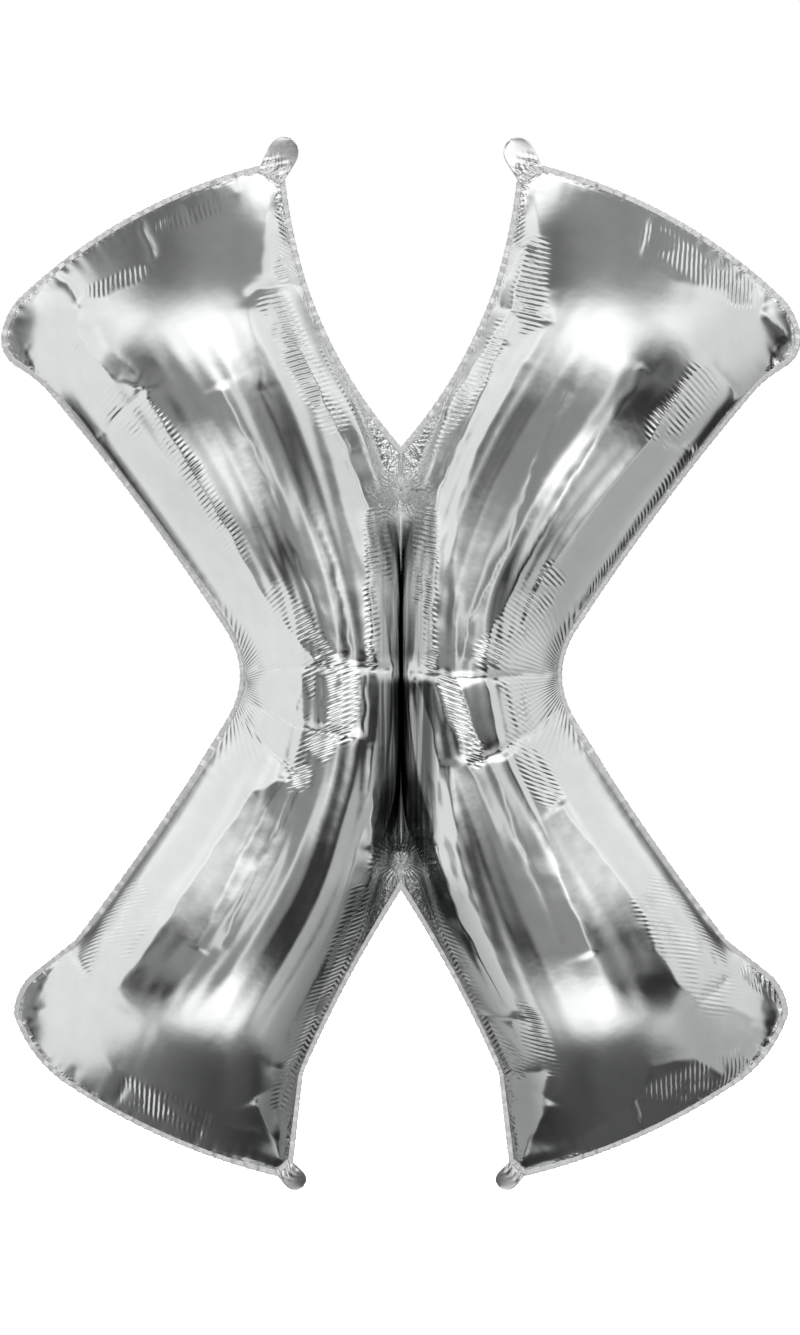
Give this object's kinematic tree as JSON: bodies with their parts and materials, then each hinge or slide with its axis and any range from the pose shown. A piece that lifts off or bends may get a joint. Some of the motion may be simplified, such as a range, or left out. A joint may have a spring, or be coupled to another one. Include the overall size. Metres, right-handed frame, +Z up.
{
  "type": "letter foil balloon",
  "caption": "Inflated silver foil balloon in the shape of a capital X, with a sealed edge, pinched crotch welds and small hanging tabs at the inner corners of its arms.",
  "frame": {"origin": "middle of the letter, on the plane where its two films are sealed together, at the air mount", "axes": "+Z up along the letter's height, +X to the right of someone who reads its front, -Y out of its front"},
  "size_m": [0.6514, 0.153, 0.86],
  "materials": {
    "front_film": "bright mirror-like metallised film, creased",
    "back_film": "bright mirror-like metallised film, creased",
    "seam_film": "heat-sealed film edge, puckered",
    "upper_weld_film": "satin crinkled weld",
    "lower_weld_film": "satin crinkled weld",
    "top_left_tab_film": "bright film, crinkled at its neck",
    "top_right_tab_film": "bright film, crinkled at its neck",
    "bottom_left_tab_film": "bright film, crinkled at its neck",
    "bottom_right_tab_film": "bright film, crinkled at its neck"
  },
  "bodies": {
    "root": {"front_panel": "front_film", "back_panel": "back_film", "perimeter_seam": "seam_film", "upper_crotch_weld": "upper_weld_film", "lower_crotch_weld": "lower_weld_film", "top_left_tab": "top_left_tab_film", "top_right_tab": "top_right_tab_film", "bottom_left_tab": "bottom_left_tab_film", "bottom_right_tab": "bottom_right_tab_film"}
  },
  "joints": []
}
